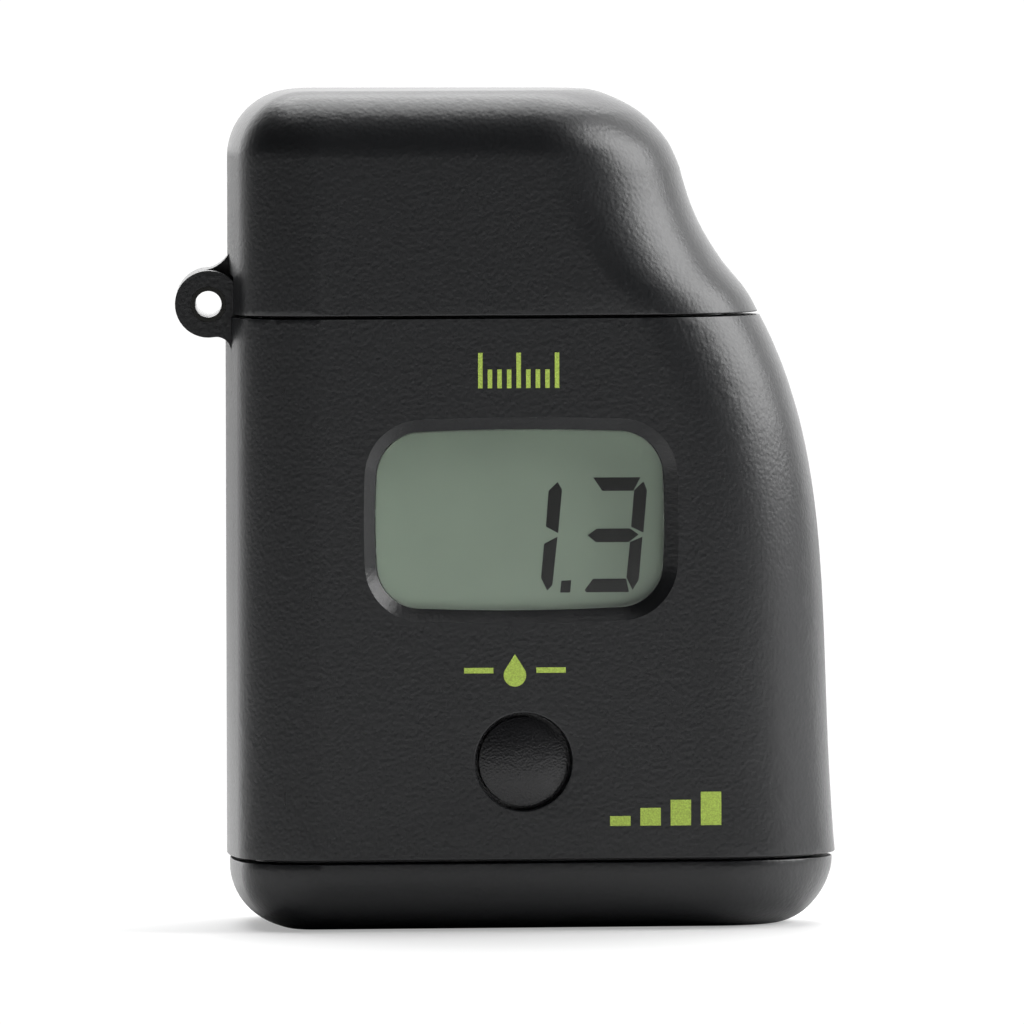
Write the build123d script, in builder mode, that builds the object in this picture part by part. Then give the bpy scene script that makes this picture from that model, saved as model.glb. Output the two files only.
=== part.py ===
"""Pocket iodine colorimeter: a moulded case on end, with a lid over the cuvette well.

The front faces -Y, the hinge is at the -X end and +Z is up. The origin is the centre of the
underside that the meter stands on. Lengths are in millimetres and angles in degrees.
"""

import os
from math import cos, hypot, radians, sin, sqrt, tan

from build123d import *

os.makedirs("parts", exist_ok=True)

# Case form
total_height = 85.2
lid_seam_height = 62.3
base_seam_height = 7.1
case_left = -31.0
half_depth = 18.75
corner_radius = 8.0
end_bow_radius = 65.0
side_taper = 7.0
wall = 1.9
top_rounding = 6.8
base_rounding = 6.2
hollow_bevel = 2.8

# Reach of the case from its hinge end, at the heights that shape the swept flank. The lid's
# stations are counted from its rim, 0, to its top, 1.
base_reach = 62.1
waist_height = 28.0
waist_reach = 61.1
shoulder_height = 43.0
shoulder_reach = 60.1
neck_height = 54.0
neck_reach = 57.85
seam_reach = 54.5
lid_low_station = 0.187
lid_low_reach = 51.4
lid_mid_station = 0.398
lid_mid_reach = 48.4
lid_high_station = 0.64
lid_high_reach = 46.6
top_reach = 45.2

# Seams
lid_gap = 0.3
lid_inset = 0.2
base_groove = 0.35
base_inset = 0.3
deck_thickness = 2.0
lip_height = 1.5
lip_width = 1.2
lip_clearance = 0.8
lip_setback = 1.2
tongue_height = 2.2
tongue_width = 1.2
tongue_clearance = 0.2

# Hinge
hinge_x = -32.7
hinge_z = 63.5
knuckle_radius = 3.4
ear_flare = 1.5
lid_flare = 3.4
hinge_length = 18.0
ear_length = 4.0
hinge_side_clearance = 0.2
hinge_swing_clearance = 0.35
tube_radius = 1.8
lanyard_hole_radius = 1.35
tube_seat_clearance = 0.02
tube_running_clearance = 0.07
hinge_pad_thickness = 1.4
hinge_pad_margin = 1.0

# Cuvette holder
well_x = -8.2
well_y = 1.7
well_radius = 11.6
well_wall = 1.1
well_floor_height = 24.0
well_floor_thickness = 1.6
well_lead_in = 0.6
gasket_thickness = 0.8
gasket_width = 1.0
light_height = 34.0
holder_ear_height = 49.8
holder_ear_thickness = 1.8
holder_ear_radius = 2.8
holder_screw_reach = 16.2
holder_screw_angle = 20.0

# Screws
screw_radius = 1.1
screw_hole_clearance = 0.15
pilot_radius = 1.12
screw_head_radius = 2.0
screw_head_height = 1.3
boss_radius = 2.3
holder_screw_length = 7.0
board_screw_length = 3.0
base_screw_x = -4.5
base_screw_y = 0.0
base_screw_radius = 1.4
base_screw_head_radius = 2.5
base_screw_head_height = 1.6
base_screw_length = 15.0
base_screw_recess = 1.4
thread_clearance = 0.02
head_clearance = 0.3
base_post_radius = 4.2
base_post_height = 12.0
slot_width = 0.8
slot_depth = 0.7
head_slope = 12.0
post_gap = 0.1
plate_clearance = 0.2

# Display, measured along the front face and down into it
window_s = -1.0
window_z = 41.7
window_width = 29.7
window_height = 18.4
window_corner = 4.6
window_bow = 0.45
bezel_depth = 1.1
bezel_width = 1.25
window_clearance = 0.1
window_flange = 1.6
window_flange_thickness = 0.6
lcd_margin = 1.3
lcd_gap = 0.1
lcd_thickness = 1.6
reflector_thickness = 0.2
lcd_pin_count = 9
lcd_pin_pitch = 2.54
lcd_pin_width = 0.5
lcd_pin_depth = 0.45

# Circuit board
board_left = -25.8
board_right = 15.4
board_bottom = 11.0
board_top = 57.0
board_thickness = 0.8
board_corner = 1.5
board_screw_inset = 2.6
board_post_radius = 2.0

# Chips and small components on the board
chip_standoff = 0.1
chip_leg_length = 1.0
chip_leg_width = 0.35
controller_s = -15.0
controller_z = 20.5
controller_side = 8.0
controller_height = 1.3
controller_leg_count = 8
controller_leg_pitch = 0.8
amplifier_s = 9.5
amplifier_rise = 6.0
amplifier_width = 5.0
amplifier_length = 4.0
amplifier_height = 1.5
amplifier_leg_count = 4
amplifier_leg_pitch = 1.27
crystal_s = 7.0
crystal_z = 24.0
crystal_radius = 1.0
crystal_length = 6.0
capacitor_s = -14.0
capacitor_z = 28.2
capacitor_width = 1.25
capacitor_length = 2.0
capacitor_height = 0.9
capacitor_pitch = 2.6
capacitor_count = 4

# Button and switch
button_s = -0.8
button_z = 17.2
button_hole_radius = 4.95
button_radius = 4.5
button_proud = 0.15
button_dome_radius = 14.0
button_skin = 0.9
button_wall = 0.8
button_flange_radius = 5.7
button_flange_thickness = 0.6
button_flange_gap = 0.15
button_stem_radius = 1.1
switch_side = 4.6
switch_height = 1.5
plunger_radius = 1.0
plunger_clearance = 0.08
plunger_rise = 0.6
plunger_length = 1.0
plunger_gap = 0.05
plunger_well_depth = 1.2
button_edge_rounding = 0.3

# Battery bay
cell_x = 18.2
cell_y = 0.0
cell_radius = 5.2
cell_can_length = 43.2
cell_length = 44.5
cell_nub_radius = 1.9
cell_bottom = 8.2
cell_clearance = 0.4
cradle_wall = 1.1
cradle_bottom = 12.0
contact_thickness = 0.4
contact_side = 8.0
shelf_thickness = 1.5
shelf_depth = 9.0
leaf_thickness = 0.3
leaf_width = 4.0
leaf_half_span = 3.6
spring_plate_radius = 4.6
strip_width = 2.6
cell_edge_bevel = 0.4
contact_arm_x = 8.6

# Light source and detector
led_radius = 1.5
led_length = 4.3
led_rim_radius = 1.9
led_rim_thickness = 1.0
led_recess = 0.4
led_clearance = 0.1
led_boss_radius = 2.8
led_boss_length = 2.6
lead_side = 0.5
lead_spacing = 2.54
lead_bend = 0.6
cell_package_side = 4.6
cell_package_thickness = 2.0
photocell_window_radius = 1.6
photocell_recess = 0.6
photocell_frame = 1.2

# Derived places
taper_sin = sin(radians(side_taper))
taper_cos = cos(radians(side_taper))
corner_y = half_depth - corner_radius
corner_x = end_bow_radius - sqrt((end_bow_radius - corner_radius) ** 2 - corner_y**2)
side_offset = corner_x * taper_sin + corner_y * taper_cos + corner_radius
lid_bottom = lid_seam_height + lid_gap / 2
deck_top = lid_seam_height - lid_gap / 2
deck_bottom = deck_top - deck_thickness
lid_height = total_height - lid_bottom
lid_low_height = lid_bottom + lid_low_station * lid_height
lid_mid_height = lid_bottom + lid_mid_station * lid_height
lid_high_height = lid_bottom + lid_high_station * lid_height
top_fillet = min(top_rounding, lid_height / 2)
housing_bottom = base_seam_height + base_groove / 2
base_top = base_seam_height - base_groove / 2
body_sections = (
    (housing_bottom, base_reach),
    (waist_height, waist_reach),
    (shoulder_height, shoulder_reach),
    (neck_height, neck_reach),
    (deck_top, seam_reach),
)
lid_sections = (
    (lid_bottom, seam_reach),
    (lid_low_height, lid_low_reach),
    (lid_mid_height, lid_mid_reach),
    (lid_high_height, lid_high_reach),
    (total_height, top_reach),
)
window_back_depth = wall + window_flange_thickness
lcd_front_depth = window_back_depth + lcd_gap
board_front_depth = lcd_front_depth + lcd_thickness + reflector_thickness
board_back_depth = board_front_depth + board_thickness
lcd_width = window_width + 2 * lcd_margin
lcd_height = window_height + 2 * lcd_margin
well_outer_radius = well_radius + well_wall
holder_top = deck_bottom - gasket_thickness
knuckle_half = hinge_length / 2 - ear_length - hinge_side_clearance
ear_inner = hinge_length / 2 - ear_length
cell_top = cell_bottom + cell_length
stem_end_depth = board_front_depth - switch_height - plunger_rise - plunger_gap
holder_screw_places = (
    (
        well_x + holder_screw_reach * cos(radians(holder_screw_angle)),
        well_y + holder_screw_reach * sin(radians(holder_screw_angle)),
    ),
    (
        well_x - holder_screw_reach * cos(radians(holder_screw_angle)),
        well_y + holder_screw_reach * sin(radians(holder_screw_angle)),
    ),
)
board_screw_places = [
    (s, z)
    for s in (board_left + board_screw_inset, board_right - board_screw_inset)
    for z in (board_bottom + board_screw_inset, board_top - board_screw_inset)
]


def plan_outline(reach, inset):
    """Closed plan of the case: bowed end, rounded corners, tapered sides and a round nose."""
    nose_x = (reach - side_offset) / (1 - taper_sin)
    nose_radius = reach - nose_x - inset
    corner = corner_radius - inset
    bow = end_bow_radius - inset
    bow_cos = (end_bow_radius - corner_x) / (end_bow_radius - corner_radius)
    bow_sin = corner_y / (end_bow_radius - corner_radius)
    middle = hypot(taper_sin - bow_cos, taper_cos + bow_sin)
    end_x = case_left + end_bow_radius - bow * bow_cos
    end_y = bow * bow_sin
    bend_x = case_left + corner_x + corner * (taper_sin - bow_cos) / middle
    bend_y = corner_y + corner * (taper_cos + bow_sin) / middle
    side_x = case_left + corner_x + corner * taper_sin
    side_y = corner_y + corner * taper_cos
    turn_x = case_left + nose_x + nose_radius * taper_sin
    turn_y = nose_radius * taper_cos
    with BuildLine() as plan:
        ThreePointArc((end_x, -end_y), (case_left + inset, 0), (end_x, end_y))
        ThreePointArc((end_x, end_y), (bend_x, bend_y), (side_x, side_y))
        Line((side_x, side_y), (turn_x, turn_y))
        ThreePointArc(
            (turn_x, turn_y), (case_left + reach - inset, 0), (turn_x, -turn_y)
        )
        Line((turn_x, -turn_y), (side_x, -side_y))
        ThreePointArc((side_x, -side_y), (bend_x, -bend_y), (end_x, -end_y))
    return plan.line


def front_y(x):
    """Y of the tapered front face at x."""
    start_x = case_left + corner_x + corner_radius * taper_sin
    start_y = -(corner_y + corner_radius * taper_cos)
    return start_y + (x - start_x) * tan(radians(side_taper))


def face(depth):
    """Plane along the front face, sunk by depth, with its own x measured from x = 0."""
    origin = (-depth * taper_sin, front_y(0) + depth * taper_cos, 0)
    return Plane(
        origin=origin, x_dir=(taper_cos, taper_sin, 0), z_dir=(taper_sin, -taper_cos, 0)
    )


def bowed_rectangle(width, height, bow, corner):
    """Rounded rectangle with gently bowed sides, centred on the origin."""
    x = width / 2 - bow
    y = height / 2 - bow
    with BuildSketch(Plane.XY) as shape:
        with BuildLine():
            ThreePointArc((-x, -y), (0, -y - bow), (x, -y))
            ThreePointArc((x, -y), (x + bow, 0), (x, y))
            ThreePointArc((x, y), (0, y + bow), (-x, y))
            ThreePointArc((-x, y), (-x - bow, 0), (-x, -y))
        make_face()
        fillet(shape.vertices(), corner)
    return shape.sketch


def knuckle_profile(wall_x, near_z, far_z, flare):
    """Hinge knuckle seen along the pin: a round boss that flares into the case wall."""
    crossing = sqrt(knuckle_radius**2 - (wall_x - hinge_x) ** 2)
    side = 1 if far_z > near_z else -1
    with BuildSketch(Plane.XY) as profile:
        with Locations((hinge_x, hinge_z)):
            Circle(knuckle_radius)
        with Locations((wall_x, near_z)):
            Rectangle(
                wall / 2,
                abs(far_z - near_z),
                align=(Align.MIN, Align.MIN if side > 0 else Align.MAX),
            )
        root = Vector(wall_x, hinge_z + side * crossing, 0)
        fillet(profile.vertices().sort_by_distance(root)[0], flare)
    return profile.sketch


# Housing: one tall shell, open below, with the deck and the hinge ears at its top
hinge_wall_x = case_left + hinge_length**2 / 8 / end_bow_radius

with BuildPart() as housing:
    for height, reach in body_sections:
        with BuildSketch(Plane.XY.offset(height)):
            add(plan_outline(reach, 0))
            make_face()
    loft()
    for height, reach in body_sections:
        with BuildSketch(Plane.XY.offset(height)):
            add(plan_outline(reach, wall))
            make_face()
    loft(ruled=True, mode=Mode.SUBTRACT)
    with BuildSketch(Plane.XY.offset(deck_bottom)):
        add(plan_outline(seam_reach, wall / 2))
        make_face()
    extrude(amount=deck_thickness)
    with BuildSketch(Plane.XY.offset(deck_top)):
        add(plan_outline(seam_reach - lip_setback, wall + lip_clearance))
        make_face()
    extrude(amount=lip_height)
    with BuildSketch(Plane.XY.offset(deck_top)):
        add(plan_outline(seam_reach - lip_setback, wall + lip_clearance + lip_width))
        make_face()
    extrude(amount=lip_height, mode=Mode.SUBTRACT)
    with BuildSketch(Plane.XY.offset(deck_top)):
        with Locations((case_left, 0)):
            Rectangle(4 * wall, hinge_length + 4 * hinge_pad_margin)
    extrude(amount=lip_height, mode=Mode.SUBTRACT)
    # Well mouth in the deck, with its lead-in
    with BuildSketch(Plane.XY.offset(deck_bottom)):
        with Locations((well_x, well_y)):
            Circle(well_radius + well_lead_in)
    extrude(amount=deck_thickness, mode=Mode.SUBTRACT)
    # Hinge ears
    for ear_start in (ear_inner, -hinge_length / 2):
        with BuildSketch(Plane.XZ.offset(ear_start)):
            add(knuckle_profile(hinge_wall_x, deck_top, neck_height, ear_flare))
        extrude(amount=ear_length)
    with BuildSketch(Plane.XZ.offset(-hinge_length / 2)):
        with Locations((hinge_x, hinge_z)):
            Circle(tube_radius + tube_seat_clearance)
    extrude(amount=hinge_length, mode=Mode.SUBTRACT)
    with BuildSketch(Plane.XZ.offset(-ear_inner)):
        with Locations((hinge_x, hinge_z)):
            Circle(knuckle_radius + hinge_swing_clearance)
    extrude(amount=2 * ear_inner, mode=Mode.SUBTRACT)
    # Display opening in its dished bezel
    with BuildSketch(face(bezel_depth)):
        with Locations((window_s, window_z)):
            add(
                bowed_rectangle(window_width, window_height, window_bow, window_corner)
            )
    extrude(amount=-bezel_depth - wall, mode=Mode.SUBTRACT)
    with BuildSketch(face(0)):
        with Locations((window_s, window_z)):
            add(
                bowed_rectangle(
                    window_width + 2 * bezel_width,
                    window_height + 2 * bezel_width,
                    window_bow,
                    window_corner + bezel_width,
                )
            )
    with BuildSketch(face(bezel_depth)):
        with Locations((window_s, window_z)):
            add(
                bowed_rectangle(window_width, window_height, window_bow, window_corner)
            )
    loft(mode=Mode.SUBTRACT)
    # Button hole
    with BuildSketch(face(wall + 1)):
        with Locations((button_s, button_z)):
            Circle(button_hole_radius)
    extrude(amount=wall + 2, mode=Mode.SUBTRACT)
    # Posts for the circuit board
    with BuildSketch(face(board_front_depth)):
        with Locations(*board_screw_places):
            Circle(board_post_radius)
    extrude(amount=board_front_depth - wall / 2)
    with BuildSketch(face(board_front_depth)):
        with Locations(*board_screw_places):
            Circle(pilot_radius)
    extrude(amount=board_screw_length - board_thickness, mode=Mode.SUBTRACT)
    # Bosses that the cuvette holder hangs from
    with BuildSketch(Plane.XY.offset(holder_ear_height)):
        with Locations(*holder_screw_places):
            Circle(boss_radius)
    extrude(amount=deck_bottom - holder_ear_height + deck_thickness / 2)
    with BuildSketch(Plane.XY.offset(holder_ear_height)):
        with Locations(*holder_screw_places):
            Circle(pilot_radius)
    extrude(amount=holder_screw_length, mode=Mode.SUBTRACT)
    # Battery cradle and the shelf above the cell
    with BuildSketch(Plane.XY.offset(cradle_bottom)) as cradle:
        with Locations((cell_x, cell_y)):
            Circle(cell_radius + cell_clearance + cradle_wall)
            Circle(cell_radius + cell_clearance, mode=Mode.SUBTRACT)
            Rectangle(
                3 * cell_radius,
                3 * cell_radius,
                align=(Align.CENTER, Align.MAX),
                mode=Mode.SUBTRACT,
            )
        with Locations((cell_x, cell_y + cell_radius + cell_clearance)):
            Rectangle(
                cradle_wall,
                -front_y(cell_x) - wall / 2 - cell_y - cell_radius - cell_clearance,
                align=(Align.CENTER, Align.MIN),
            )
    extrude(amount=cell_top - cradle_bottom)
    with BuildSketch(Plane.XY.offset(cell_top + contact_thickness)):
        with Locations((cell_x - contact_side / 2, cell_y)):
            Rectangle(
                neck_reach + case_left - wall / 2 - cell_x + contact_side / 2,
                shelf_depth,
                align=(Align.MIN, Align.CENTER),
            )
    extrude(amount=shelf_thickness)

# Lid: a domed hood that swings up on the hinge
with BuildPart() as lid_hollow:
    for height, reach in lid_sections[:-1]:
        with BuildSketch(Plane.XY.offset(height)):
            add(plan_outline(reach, lid_inset + wall))
            make_face()
    with BuildSketch(Plane.XY.offset(total_height - wall - hollow_bevel)):
        add(plan_outline(top_reach, lid_inset + wall))
        make_face()
    with BuildSketch(Plane.XY.offset(total_height - wall)):
        add(plan_outline(top_reach, lid_inset + wall + hollow_bevel))
        make_face()
    loft(ruled=True)

with BuildPart() as lid:
    for height, reach in lid_sections:
        with BuildSketch(Plane.XY.offset(height)):
            add(plan_outline(reach, lid_inset))
            make_face()
    loft()
    fillet(lid.edges().group_by(Axis.Z)[-1], top_fillet)
    add(lid_hollow.part, mode=Mode.SUBTRACT)
    # Pad that keeps the wall whole behind the slots for the ears
    with BuildSketch(Plane.XY.offset(lid_bottom)):
        with Locations((case_left + lid_inset + wall / 2, 0)):
            Rectangle(
                wall / 2 + hinge_pad_thickness,
                hinge_length + 2 * hinge_pad_margin,
                align=(Align.MIN, Align.CENTER),
            )
    extrude(amount=lid_low_height - lid_bottom)
    for ear_start in (
        ear_inner - hinge_side_clearance,
        -hinge_length / 2 - hinge_side_clearance,
    ):
        with BuildSketch(Plane.XZ.offset(ear_start)):
            with Locations((hinge_x, hinge_z)):
                Circle(knuckle_radius + hinge_swing_clearance)
        extrude(amount=ear_length + 2 * hinge_side_clearance, mode=Mode.SUBTRACT)
    with BuildSketch(Plane.XZ.offset(-knuckle_half)):
        add(
            knuckle_profile(
                hinge_wall_x + lid_inset, lid_bottom, lid_mid_height, lid_flare
            )
        )
    extrude(amount=2 * knuckle_half)
    with BuildSketch(Plane.XZ.offset(-knuckle_half)):
        with Locations((hinge_x, hinge_z)):
            Circle(tube_radius + tube_running_clearance)
    extrude(amount=2 * knuckle_half, mode=Mode.SUBTRACT)

# Hollow hinge pin, open right through for a lanyard
with BuildPart() as hinge_tube:
    with BuildSketch(Plane.XZ.offset(-hinge_length / 2)):
        with Locations((hinge_x, hinge_z)):
            Circle(tube_radius)
            Circle(lanyard_hole_radius, mode=Mode.SUBTRACT)
    extrude(amount=hinge_length)

# Seal between the deck and the cuvette holder
with BuildPart() as well_gasket:
    with BuildSketch(Plane.XY.offset(holder_top)):
        with Locations((well_x, well_y)):
            Circle(well_radius + well_lead_in + gasket_width)
            Circle(well_radius + well_lead_in, mode=Mode.SUBTRACT)
    extrude(amount=gasket_thickness)

# Cuvette holder: the optical well, hung from the deck by two screws
with BuildPart() as cuvette_holder:
    with BuildSketch(Plane.XY.offset(well_floor_height - well_floor_thickness)):
        with Locations((well_x, well_y)):
            Circle(well_outer_radius)
    extrude(amount=holder_top - well_floor_height + well_floor_thickness)
    # Flange under the gasket
    with BuildSketch(Plane.XY.offset(holder_top - holder_ear_thickness)):
        with Locations((well_x, well_y)):
            Circle(well_radius + well_lead_in + gasket_width)
    extrude(amount=holder_ear_thickness)
    # Ears for the screws
    with BuildSketch(Plane.XY.offset(holder_ear_height - holder_ear_thickness)):
        for ear_x, ear_y in holder_screw_places:
            with Locations((ear_x, ear_y)):
                Circle(holder_ear_radius)
            with BuildLine():
                Line((well_x, well_y), (ear_x, ear_y))
            trace(line_width=2 * holder_ear_radius)
    extrude(amount=holder_ear_thickness)
    # Post that takes the screw from the base
    with BuildSketch(Plane.XY.offset(base_post_height)):
        with Locations((base_screw_x, base_screw_y)):
            Circle(base_post_radius)
    extrude(amount=well_floor_height - well_floor_thickness / 2 - base_post_height)
    # Mounts for the light source and the detector
    with BuildSketch(Plane.YZ.offset(well_x - well_outer_radius - led_boss_length)):
        with Locations((well_y, light_height)):
            Circle(led_boss_radius)
    extrude(amount=led_boss_length + well_wall)
    with BuildSketch(Plane.YZ.offset(well_x + well_radius + well_wall / 2)):
        with Locations((well_y, light_height)):
            Rectangle(
                cell_package_side + 2 * photocell_frame,
                cell_package_side + 2 * photocell_frame,
            )
    extrude(amount=photocell_recess + cell_package_thickness)
    # Bore, screw holes and light passages
    with BuildSketch(Plane.XY.offset(well_floor_height)):
        with Locations((well_x, well_y)):
            Circle(well_radius)
    extrude(amount=holder_top - well_floor_height, mode=Mode.SUBTRACT)
    with BuildSketch(Plane.XY.offset(holder_ear_height - holder_ear_thickness)):
        with Locations(*holder_screw_places):
            Circle(screw_radius + screw_hole_clearance)
    extrude(amount=holder_ear_thickness, mode=Mode.SUBTRACT)
    with BuildSketch(Plane.XY.offset(base_post_height)):
        with Locations((base_screw_x, base_screw_y)):
            Circle(base_screw_radius + thread_clearance)
    extrude(
        amount=well_floor_height - well_floor_thickness - base_post_height,
        mode=Mode.SUBTRACT,
    )
    with BuildSketch(Plane.YZ.offset(well_x - well_outer_radius - led_boss_length)):
        with Locations((well_y, light_height)):
            Circle(led_radius + led_clearance)
    extrude(amount=led_boss_length + 2 * well_wall, mode=Mode.SUBTRACT)
    with BuildSketch(Plane.YZ.offset(well_x + well_radius / 2)):
        with Locations((well_y, light_height)):
            Circle(photocell_window_radius)
    extrude(amount=well_radius, mode=Mode.SUBTRACT)
    with BuildSketch(Plane.YZ.offset(well_x + well_outer_radius + photocell_recess)):
        with Locations((well_y, light_height)):
            Rectangle(
                cell_package_side + 2 * led_clearance,
                cell_package_side + 2 * led_clearance,
            )
    extrude(amount=2 * cell_package_thickness, mode=Mode.SUBTRACT)


def pan_screws(places, plane, shank_radius, head_radius, head_height, length):
    """Pan head screws: heads behind the plane, shanks along its normal, slots in the heads."""
    with BuildPart() as screws:
        with BuildSketch(plane.offset(-head_height)):
            with Locations(*places):
                Circle(head_radius - head_height * tan(radians(head_slope)))
        extrude(amount=head_height, taper=-head_slope)
        with BuildSketch(plane):
            with Locations(*places):
                Circle(shank_radius)
        extrude(amount=length)
        with BuildSketch(plane.offset(-head_height)):
            with Locations(*places):
                Rectangle(2 * head_radius, slot_width)
        extrude(amount=slot_depth, mode=Mode.SUBTRACT)
    return screws


holder_screws = pan_screws(
    holder_screw_places,
    Plane.XY.offset(holder_ear_height - holder_ear_thickness),
    screw_radius,
    screw_head_radius,
    screw_head_height,
    holder_screw_length,
)
board_screws = pan_screws(
    board_screw_places,
    face(board_back_depth),
    screw_radius,
    screw_head_radius,
    screw_head_height,
    board_screw_length,
)
base_screw = pan_screws(
    ((base_screw_x, base_screw_y),),
    Plane.XY.offset(base_screw_recess + base_screw_head_height),
    base_screw_radius,
    base_screw_head_radius,
    base_screw_head_height,
    base_screw_length,
)

# Base cover: the tray under the housing, with its tongue, screw post and spring seat
with BuildPart() as base_hollow:
    with BuildSketch(Plane.XY.offset(wall)):
        add(plan_outline(base_reach, base_inset + wall + hollow_bevel))
        make_face()
    with BuildSketch(Plane.XY.offset(wall + hollow_bevel)):
        add(plan_outline(base_reach, base_inset + wall))
        make_face()
    with BuildSketch(Plane.XY.offset(base_seam_height)):
        add(plan_outline(base_reach, base_inset + wall))
        make_face()
    loft(ruled=True)

with BuildPart() as base_cover:
    with BuildSketch():
        add(plan_outline(base_reach, base_inset))
        make_face()
    extrude(amount=base_top)
    fillet(base_cover.edges().group_by(Axis.Z)[0], base_rounding)
    add(base_hollow.part, mode=Mode.SUBTRACT)
    with BuildSketch(Plane.XY.offset(base_top - tongue_height)):
        add(plan_outline(base_reach, wall + tongue_clearance))
        make_face()
        add(plan_outline(base_reach, wall + tongue_clearance + tongue_width))
        make_face(mode=Mode.SUBTRACT)
    extrude(amount=2 * tongue_height)
    with BuildSketch(Plane.XY.offset(wall / 2)):
        with Locations((base_screw_x, base_screw_y)):
            Circle(base_post_radius)
    extrude(amount=base_post_height - post_gap - wall / 2)
    with BuildSketch():
        with Locations((base_screw_x, base_screw_y)):
            Circle(base_screw_head_radius + head_clearance)
    extrude(amount=base_screw_recess + base_screw_head_height, mode=Mode.SUBTRACT)
    with BuildSketch():
        with Locations((base_screw_x, base_screw_y)):
            Circle(base_screw_radius + screw_hole_clearance)
    extrude(amount=base_post_height, mode=Mode.SUBTRACT)
    with BuildSketch(Plane.XY.offset(wall)):
        with Locations((cell_x, cell_y)):
            Circle(spring_plate_radius + plate_clearance + cradle_wall)
            Circle(spring_plate_radius + plate_clearance, mode=Mode.SUBTRACT)
    extrude(amount=contact_thickness)

# Display: window, glass, reflector and the pins that hold it to the board
with BuildPart() as display_window:
    with BuildSketch(face(window_back_depth)):
        with Locations((window_s, window_z)):
            add(
                bowed_rectangle(
                    window_width + 2 * window_flange,
                    window_height + 2 * window_flange,
                    window_bow,
                    window_corner + window_flange,
                )
            )
    extrude(amount=window_flange_thickness)
    with BuildSketch(face(wall)):
        with Locations((window_s, window_z)):
            add(
                bowed_rectangle(
                    window_width - 2 * window_clearance,
                    window_height - 2 * window_clearance,
                    window_bow,
                    window_corner - window_clearance,
                )
            )
    extrude(amount=wall - bezel_depth)

with BuildPart() as lcd_glass:
    with BuildSketch(face(lcd_front_depth + lcd_thickness)):
        with Locations((window_s, window_z)):
            Rectangle(lcd_width, lcd_height)
    extrude(amount=lcd_thickness)

with BuildPart() as lcd_reflector:
    with BuildSketch(face(board_front_depth)):
        with Locations((window_s, window_z)):
            Rectangle(lcd_width, lcd_height)
    extrude(amount=reflector_thickness)

with BuildPart() as lcd_pins:
    with BuildSketch(face(board_front_depth)):
        for side in (-1, 1):
            pin_z = window_z + side * (lcd_height + lcd_pin_depth) / 2
            with Locations((window_s, pin_z)):
                with GridLocations(lcd_pin_pitch, 1, lcd_pin_count, 1):
                    Rectangle(lcd_pin_width, lcd_pin_depth)
    extrude(amount=reflector_thickness + lcd_thickness / 2)

# Light source and detector, each with two leads bent forward to the board
led_tip_x = well_x - well_radius - led_recess
led_back_x = led_tip_x - led_length
photocell_front_x = well_x + well_outer_radius + photocell_recess
photocell_back_x = photocell_front_x + cell_package_thickness
led_lead_x = led_back_x - lead_bend - lead_side / 2
photocell_lead_x = photocell_back_x + lead_bend + lead_side / 2
lead_heights = (light_height - lead_spacing / 2, light_height + lead_spacing / 2)


def bent_lead(start_x, lead_x, lead_z):
    """Square wire out of a package, bent forward through the circuit board."""
    end_y = front_y(lead_x) + (board_front_depth + lead_side) / taper_cos
    with BuildPart() as lead:
        with BuildSketch(Plane.XY.offset(lead_z - lead_side / 2)):
            with BuildLine():
                FilletPolyline(
                    (start_x, well_y), (lead_x, well_y), (lead_x, end_y), radius=lead_bend
                )
            trace(line_width=lead_side)
        extrude(amount=lead_side)
    return lead.part


led_leads = [bent_lead(led_back_x, led_lead_x, lead_z) for lead_z in lead_heights]
photocell_leads = [
    bent_lead(photocell_back_x, photocell_lead_x, lead_z) for lead_z in lead_heights
]

with BuildPart() as green_led:
    with BuildSketch(Plane.YZ.offset(led_back_x)):
        with Locations((well_y, light_height)):
            Circle(led_radius)
    extrude(amount=led_length)
    fillet(green_led.edges().group_by(Axis.X)[-1], led_radius - led_clearance)
    with BuildSketch(Plane.YZ.offset(led_back_x)):
        with Locations((well_y, light_height)):
            Circle(led_rim_radius)
    extrude(amount=led_rim_thickness)
    for lead in led_leads:
        add(lead)

with BuildPart() as photocell:
    with BuildSketch(Plane.YZ.offset(photocell_front_x)):
        with Locations((well_y, light_height)):
            Rectangle(cell_package_side, cell_package_side)
    extrude(amount=cell_package_thickness)
    with BuildSketch(Plane.YZ.offset(photocell_front_x)):
        with Locations((well_y, light_height)):
            Circle(photocell_window_radius)
    extrude(amount=cell_package_thickness / 8, mode=Mode.SUBTRACT)
    for lead in photocell_leads:
        add(lead)

# Circuit board and what is soldered to it
with BuildPart() as circuit_board:
    with BuildSketch(face(board_back_depth)):
        with Locations(((board_left + board_right) / 2, (board_bottom + board_top) / 2)):
            RectangleRounded(
                board_right - board_left, board_top - board_bottom, board_corner
            )
        with Locations(*board_screw_places):
            Circle(screw_radius + screw_hole_clearance, mode=Mode.SUBTRACT)
    extrude(amount=board_thickness)
    with BuildSketch(Plane.XZ.offset(-well_y)):
        with Locations(
            *[(x, z) for x in (led_lead_x, photocell_lead_x) for z in lead_heights]
        ):
            Circle(lead_side * sqrt(2) / 2 + led_clearance)
    extrude(amount=2 * half_depth, mode=Mode.SUBTRACT)


board_back = Plane(
    origin=face(board_back_depth).origin,
    x_dir=(taper_cos, taper_sin, 0),
    z_dir=(-taper_sin, taper_cos, 0),
)


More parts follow.
